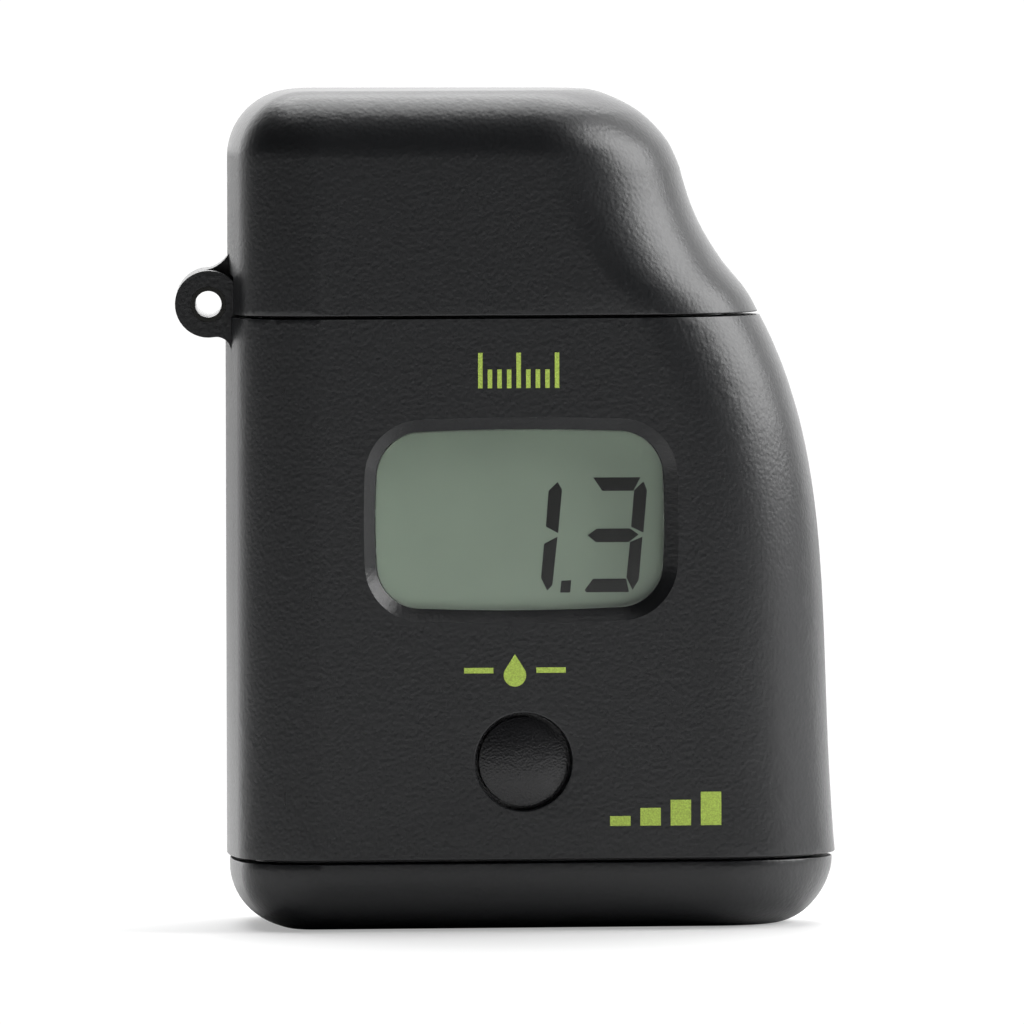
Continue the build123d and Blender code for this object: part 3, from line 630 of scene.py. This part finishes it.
@dataclass
class Display:
    """Window, liquid crystal glass and the lit segments of a reading."""

    face: FrontFace
    window_along: float = -1.0
    window_up: float = 41.7
    glass_depth: float = 2.6
    segment_thickness: float = 0.03
    rim_width: float = 0.22
    rim_reach: float = 30.0
    highlight_edge_normal: float = 0.968

    def build(self) -> None:
        """Dress the window and the glass, paint a pale highlight on the window's bevelled edge and
        lay the segments on the glass.
        """
        rim = FaceRim(
            self.window_up, self.rim_width, centre_x=self.window_along, reach=self.rim_reach
        )
        window = stand_in("display_window", "case", WINDOW, rims=(rim,))
        window.visible_shadow = False
        # the faces of the bevelled rim get a pale opaque colour: a painted highlight on the clear
        # window's edge
        window.data.materials.append(WINDOW_EDGE_HIGHLIGHT.material())
        for polygon in window.data.polygons:
            if abs(polygon.normal.y) < self.highlight_edge_normal:
                polygon.material_index = 1
        dress(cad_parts["lcd_glass"], LCD)
        dress(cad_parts["lcd_reflector"], REFLECTOR)
        dress(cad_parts["lcd_pins"], NICKEL)
        outlines = self.segments()
        mesh = flat_prisms("reading_segments", outlines, self.segment_thickness)
        mesh.transform(self.face.frame_at(self.window_along, self.window_up, self.glass_depth))
        piece = add_piece("reading_segments", mesh)
        dress(piece, SEGMENT)
        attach(piece, "case")
        log.info("display: %d segments", len(outlines))

    def segments(self) -> list[list[Point]]:
        """Draw the reading's segments.

        Returns:
            Their outlines, anticlockwise from the window's centre, in mm.
        """
        one = [
            [(3.08, 2.90), (2.79, -0.74), (4.04, -1.41), (4.45, 3.02), (4.00, 3.78)],
            [(2.60, -2.48), (2.28, -5.95), (2.91, -7.22), (3.44, -6.67), (3.97, -1.77)],
        ]
        point = [[(4.24, -7.44), (5.25, -7.44), (5.37, -6.19), (4.36, -6.24)]]
        three = [
            [(8.58, 2.85), (11.76, 2.85), (12.48, 4.21), (7.66, 4.21)],
            [(11.83, 2.90), (11.52, -0.81), (12.77, -1.41), (13.15, 2.90), (12.79, 3.78)],
            [(7.90, -2.36), (11.27, -2.36), (12.29, -1.60), (11.40, -0.98), (8.02, -0.98),
             (7.06, -1.65)],
            [(11.40, -2.36), (11.03, -5.95), (11.64, -7.22), (12.29, -6.19), (12.67, -1.84)],
            [(6.94, -7.44), (11.27, -7.44), (10.99, -6.07), (7.61, -6.07), (6.74, -7.22)],
        ]
        return one + point + three


def value_socket(
    tree: bpy.types.NodeTree, name: str, start: float | int
) -> bpy.types.NodeTreeInterfaceSocket:
    """Add a named input to a geometry tree.

    Args:
        tree: the geometry tree.
        name: the input's name.
        start: its default value, whose type decides the socket's type.

    Returns:
        The new input.
    """
    kind = "NodeSocketInt" if isinstance(start, int) else "NodeSocketFloat"
    socket = tree.interface.new_socket(name=name, in_out="INPUT", socket_type=kind)
    socket.default_value = start
    return socket


@dataclass(frozen=True)
class BarRow:
    """A row of printed bars made by geometry nodes, as on a plain scale, with sizes in mm."""

    count: int
    pitch: float
    width: float
    height: float
    rise: float = 0.0
    long_every: int = 1000
    long_extra: float = 0.0
    thickness: float = 0.09

    def inputs(self) -> dict[str, float | int]:
        """Name the sizes as the tree's inputs.

        Returns:
            The value of each input by its name.
        """
        return {
            "Count": self.count,
            "Long Every": self.long_every,
            "Pitch": self.pitch,
            "Width": self.width,
            "Height": self.height,
            "Rise": self.rise,
            "Long Extra": self.long_extra,
            "Thickness": self.thickness,
        }

    def tree(self, finish: Finish) -> tuple[bpy.types.NodeTree, dict[str, str]]:
        """Build the geometry tree.

        Args:
            finish: the finish of the bars.

        Returns:
            The tree and the identifiers of its inputs by name.
        """
        tree = bpy.data.node_groups.new("bar_row", "GeometryNodeTree")
        tree.interface.new_socket(
            name="Geometry", in_out="OUTPUT", socket_type="NodeSocketGeometry"
        )
        names = {}
        for name, value in self.inputs().items():
            names[name] = value_socket(tree, name, value).identifier
        add, link = tree.nodes.new, tree.links.new
        given = add("NodeGroupInput").outputs
        index = add("GeometryNodeInputIndex").outputs[0]

        def maths(operation: str, *values: object) -> bpy.types.NodeSocket:
            """Add a maths node.

            Args:
                operation: what it does.
                values: numbers, or sockets to link, in the order of its inputs.

            Returns:
                Its result.
            """
            node = add("ShaderNodeMath")
            node.operation = operation
            for place, value in enumerate(values):
                if isinstance(value, bpy.types.NodeSocket):
                    link(value, node.inputs[place])
                else:
                    node.inputs[place].default_value = value
            return node.outputs[0]

        line = add("GeometryNodeMeshLine")
        link(given["Count"], line.inputs["Count"])
        step = add("ShaderNodeCombineXYZ")
        link(given["Pitch"], step.inputs["X"])
        link(step.outputs[0], line.inputs["Offset"])
        is_long = maths("LESS_THAN", maths("MODULO", index, given["Long Every"]), 0.5)
        extra = maths("MULTIPLY", is_long, given["Long Extra"])
        rising = maths("MULTIPLY_ADD", index, given["Rise"], given["Height"])
        height = maths("ADD", rising, extra)
        shape = add("ShaderNodeCombineXYZ")
        link(given["Width"], shape.inputs["X"])
        link(height, shape.inputs["Y"])
        link(given["Thickness"], shape.inputs["Z"])
        centre = maths("MULTIPLY", maths("SUBTRACT", given["Count"], 1.0), given["Pitch"])
        shift = add("ShaderNodeCombineXYZ")
        link(maths("MULTIPLY", centre, -0.5), shift.inputs["X"])
        link(maths("MULTIPLY", height, 0.5), shift.inputs["Y"])
        move = add("GeometryNodeSetPosition")
        link(line.outputs["Mesh"], move.inputs["Geometry"])
        link(shift.outputs[0], move.inputs["Offset"])
        bar = add("GeometryNodeMeshCube")
        bar.inputs["Size"].default_value = (1, 1, 1)
        place = add("GeometryNodeInstanceOnPoints")
        link(move.outputs[0], place.inputs["Points"])
        link(bar.outputs["Mesh"], place.inputs["Instance"])
        link(shape.outputs[0], place.inputs["Scale"])
        real = add("GeometryNodeRealizeInstances")
        link(place.outputs[0], real.inputs[0])
        paint = add("GeometryNodeSetMaterial")
        paint.inputs["Material"].default_value = finish.material()
        link(real.outputs[0], paint.inputs["Geometry"])
        link(paint.outputs[0], add("NodeGroupOutput").inputs[0])
        return tree, names

    def build(self, name: str, place: Matrix, finish: Finish) -> bpy.types.Object:
        """Make the row as a plain mesh in its place.

        Args:
            name: the piece's name.
            place: takes a drawing in mm to metres.
            finish: the finish of the bars.

        Returns:
            The piece.
        """
        piece = add_piece(name, bpy.data.meshes.new(name))
        tree, names = self.tree(finish)
        row = piece.modifiers.new("row", "NODES")
        row.node_group = tree
        for label, value in self.inputs().items():
            row[names[label]] = value
        bake(piece)
        piece.data.transform(place)
        return piece


@dataclass
class PrintedMarks:
    """Plain printed marks on the front: a scale, a drop between dashes and rising bars."""

    face: FrontFace
    proud: float = 0.02
    thickness: float = 0.09
    scale: BarRow = BarRow(9, 0.98, 0.46, 1.9, long_every=4, long_extra=1.7)
    scale_at: Point = (-1.24, 55.1)
    level: BarRow = BarRow(4, 3.1, 2.1, 1.0, rise=0.8)
    level_at: Point = (13.7, 10.6)
    drop_at: Point = (-1.7, 26.48)
    drop_radius: float = 1.15
    drop_height: float = 3.3
    drop_steps: int = 22
    drop_start: float = 150.0
    drop_sweep: float = 240.0
    dash_width: float = 3.0
    dash_height: float = 0.55
    dash_reach: float = 3.7

    def build(self) -> None:
        """Print all marks."""
        depth = self.thickness / 2 - self.proud
        rows = (
            ("scale_mark", self.scale, self.scale_at),
            ("level_mark", self.level, self.level_at),
        )
        for name, row, centre in rows:
            piece = row.build(name, self.face.frame_at(*centre, depth), PRINT)
            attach(piece, "case")
        mesh = flat_prisms("drop_mark", self.drop(), self.thickness)
        mesh.transform(self.face.frame_at(*self.drop_at, self.thickness - self.proud))
        piece = add_piece("drop_mark", mesh)
        dress(piece, PRINT)
        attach(piece, "case")
        log.info("marks: %d pieces", len(rows) + 1)

    def drop(self) -> list[list[Point]]:
        """Draw the drop and the dash on either side of it.

        Returns:
            Their outlines, anticlockwise from the drop's centre, in mm.
        """
        radius = self.drop_radius
        low = -self.drop_height / 2 + radius
        steps = self.drop_steps
        turns = [self.drop_start + self.drop_sweep * i / steps for i in range(steps + 1)]
        drop = [
            (radius * math.cos(math.radians(turn)), low + radius * math.sin(math.radians(turn)))
            for turn in turns
        ]
        drop.append((0.0, self.drop_height / 2))
        x, w, h = self.dash_reach, self.dash_width / 2, self.dash_height / 2
        dashes = [[(c - w, -h), (c + w, -h), (c + w, h), (c - w, h)] for c in (-x, x)]
        return [drop] + dashes


@dataclass
class PushButton:
    """The button cap and the switch behind it."""

    pole_reach: float = 0.6
    pole_x: float = -0.9
    pole_z: float = 17.2
    dome_y: float = -15.6

    def build(self) -> None:
        """Dress the cap, the plunger and the switch."""
        piece = stand_in("button_cap", "button", BUTTON)
        self._calm_pole(piece.data)
        dress(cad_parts["switch_plunger"], PLUNGER)
        dress(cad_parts["switch_body"], CHIP)

    def _calm_pole(self, mesh: bpy.types.Mesh) -> None:
        """Join the slivers in the middle of the dome into one small face.

        Args:
            mesh: the cap's mesh, changed in place.
        """
        work = bmesh.new()
        work.from_mesh(mesh)
        middle = [
            v for v in work.verts
            if v.co.y < self.dome_y * MM
            and math.hypot(v.co.x / MM - self.pole_x, v.co.z / MM - self.pole_z) < self.pole_reach
        ]
        bmesh.ops.dissolve_verts(work, verts=middle)
        work.to_mesh(mesh)
        work.free()
        log.info("button pole: %d points joined", len(middle))


@dataclass
class Hinge:
    """The hollow pin that the lid turns on."""

    def build(self) -> None:
        """Dress the tube."""
        stand_in("hinge_tube", "case", BLACKED)


@dataclass
class Insides:
    """What sits in the case, under the lid and behind the front."""

    def build(self) -> None:
        """Dress the holder and every piece on and around the board."""
        stand_in("cuvette_holder", "case", HOLDER)
        finishes = {
            "well_gasket": GASKET,
            "holder_screws": ZINC,
            "base_screw": ZINC,
            "board_screws": ZINC,
            "circuit_board": BOARD,
            "microcontroller": CHIP,
            "amplifier_chip": CHIP,
            "crystal": NICKEL,
            "capacitors": CAPACITOR,
            "green_led": LED,
            "photocell": DETECTOR,
            "battery": CELL,
            "battery_top_contact": NICKEL,
            "spring_plate": NICKEL,
            "battery_spring": NICKEL,
            "contact_strip": NICKEL,
        }
        for node, finish in finishes.items():
            dress(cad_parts[node], finish)
        log.info("insides: %d nodes dressed", len(finishes) + 1)


@dataclass(frozen=True)
class Softbox:
    """A square soft lamp that looks at the object: place and side in metres, power in watts."""

    name: str
    place: Place
    side: float
    power: float
    aim_height: float = 0.045

    def hang(self) -> None:
        """Put the lamp in the scene."""
        lamp = bpy.data.lights.new(self.name, "AREA")
        lamp.shape = "RECTANGLE"
        lamp.size = lamp.size_y = self.side
        lamp.energy = self.power
        holder = bpy.data.objects.new(self.name, lamp)
        holder.location = self.place
        aim = Vector((0, 0, self.aim_height)) - Vector(self.place)
        holder.rotation_euler = aim.to_track_quat("-Z", "Y").to_euler()
        holder.visible_camera = False
        bpy.context.scene.collection.objects.link(holder)


@dataclass
class Studio:
    """Pale floor, soft light and the camera: metres, degrees and, for the sensor, mm."""

    camera_distance: float = 2.2
    camera_height: float = 0.118
    camera_yaw: float = -0.5
    camera_roll: float = -0.14
    aim: Place = (-0.00180, 0.0, 0.04198)
    frame_width: float = 0.1045
    sensor_width: float = 36.0
    clip_start: float = 0.1
    clip_end: float = 50.0
    floor_half: float = 9.0
    floor_grey: float = 0.85
    floor_roughness: float = 0.6
    floor_glow: float = 1.06
    shadow_near: float = 0.044
    shadow_far: float = 0.11
    shadow_white: float = 0.33
    front_light: float = 0.03
    back_light: float = 2.6
    front_end: float = 0.45
    back_start: float = 0.85
    lamps: tuple[Softbox, ...] = (
        Softbox("softbox_right", (0.62, 0.06, 0.38), 0.5, 6.0),
        Softbox("softbox_top", (0.0, 0.30, 0.80), 0.8, 10.0),
    )

    def build(self) -> None:
        """Set up floor, lamps, world and camera."""
        self._floor()
        self._world()
        for lamp in self.lamps:
            lamp.hang()
        self._camera()
        bpy.context.scene.view_settings.view_transform = "Standard"

    def _floor(self) -> None:
        """Lay a pale floor that shows a soft shadow near the object and turns white beyond it."""
        half = self.floor_half
        mesh = bpy.data.meshes.new("floor")
        mesh.from_pydata(
            [(-half, -half, 0), (half, -half, 0), (half, half, 0), (-half, half, 0)],
            [],
            [(0, 1, 2, 3)],
        )
        floor = add_piece("floor", mesh)
        material = bpy.data.materials.new("floor_white")
        material.use_nodes = True
        tree = material.node_tree
        shader = tree.nodes["Principled BSDF"]
        shader.inputs["Base Color"].default_value = (*[self.floor_grey] * 3, 1)
        shader.inputs["Roughness"].default_value = self.floor_roughness
        glow = tree.nodes.new("ShaderNodeEmission")
        glow.inputs["Color"].default_value = (1, 1, 1, 1)
        glow.inputs["Strength"].default_value = self.floor_glow
        path = tree.nodes.new("ShaderNodeLightPath")
        where = tree.nodes.new("ShaderNodeTexCoord")
        length = tree.nodes.new("ShaderNodeVectorMath")
        length.operation = "LENGTH"
        tree.links.new(where.outputs["Object"], length.inputs[0])
        near = tree.nodes.new("ShaderNodeMapRange")
        near.inputs["From Min"].default_value = self.shadow_near
        near.inputs["From Max"].default_value = self.shadow_far
        near.inputs["To Min"].default_value = self.shadow_white
        near.inputs["To Max"].default_value = 1.0
        tree.links.new(length.outputs["Value"], near.inputs["Value"])
        share = tree.nodes.new("ShaderNodeMath")
        share.operation = "MULTIPLY"
        tree.links.new(near.outputs["Result"], share.inputs[1])
        mix = tree.nodes.new("ShaderNodeMixShader")
        tree.links.new(path.outputs["Is Camera Ray"], share.inputs[0])
        tree.links.new(share.outputs[0], mix.inputs["Fac"])
        tree.links.new(shader.outputs["BSDF"], mix.inputs[1])
        tree.links.new(glow.outputs["Emission"], mix.inputs[2])
        tree.links.new(mix.outputs[0], tree.nodes["Material Output"].inputs["Surface"])
        floor.data.materials.append(material)

    def _world(self) -> None:
        """Make a world that is white to the camera, bright behind and dim in front."""
        world = bpy.data.worlds.new("studio")
        bpy.context.scene.world = world
        world.use_nodes = True
        tree = world.node_tree
        tree.nodes.clear()
        where = tree.nodes.new("ShaderNodeTexCoord")
        split = tree.nodes.new("ShaderNodeSeparateXYZ")
        ramp = tree.nodes.new("ShaderNodeMapRange")
        ramp.interpolation_type = "SMOOTHSTEP"
        ramp.inputs["From Min"].default_value = self.front_end
        ramp.inputs["From Max"].default_value = self.back_start
        ramp.inputs["To Min"].default_value = self.front_light
        ramp.inputs["To Max"].default_value = self.back_light
        light = tree.nodes.new("ShaderNodeBackground")
        white = tree.nodes.new("ShaderNodeBackground")
        white.inputs["Color"].default_value = (1, 1, 1, 1)
        path = tree.nodes.new("ShaderNodeLightPath")
        mix = tree.nodes.new("ShaderNodeMixShader")
        out = tree.nodes.new("ShaderNodeOutputWorld")
        tree.links.new(where.outputs["Generated"], split.inputs[0])
        tree.links.new(split.outputs["Y"], ramp.inputs["Value"])
        tree.links.new(ramp.outputs["Result"], light.inputs["Strength"])
        tree.links.new(path.outputs["Is Camera Ray"], mix.inputs["Fac"])
        tree.links.new(light.outputs[0], mix.inputs[1])
        tree.links.new(white.outputs[0], mix.inputs[2])
        tree.links.new(mix.outputs[0], out.inputs["Surface"])

    def _camera(self) -> None:
        """Place the camera at the photograph's viewing angle."""
        lens = bpy.data.cameras.new("camera")
        lens.sensor_width = self.sensor_width
        lens.lens = lens.sensor_width * self.camera_distance / self.frame_width
        lens.clip_start = self.clip_start
        lens.clip_end = self.clip_end
        camera = bpy.data.objects.new("camera", lens)
        yaw = math.radians(self.camera_yaw)
        aim = Vector(self.aim)
        back, side = math.cos(yaw) * self.camera_distance, math.sin(yaw) * self.camera_distance
        place = Vector((aim.x + side, -back, self.camera_height))
        look = (aim - place).to_track_quat("-Z", "Y").to_matrix()
        roll = Matrix.Rotation(math.radians(self.camera_roll), 3, "Z")
        camera.rotation_euler = (look @ roll).to_euler()
        camera.location = place
        bpy.context.scene.collection.objects.link(camera)
        bpy.context.scene.camera = camera


def main() -> None:
    """Build the looks of every part, in order."""
    logging.basicConfig(level=logging.INFO, format="%(name)s: %(message)s")
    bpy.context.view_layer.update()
    face = FrontFace()
    CaseShells().build()
    Display(face).build()
    PrintedMarks(face).build()
    PushButton().build()
    Hinge().build()
    Insides().build()
    Studio().build()


if __name__ == "__main__":
    main()
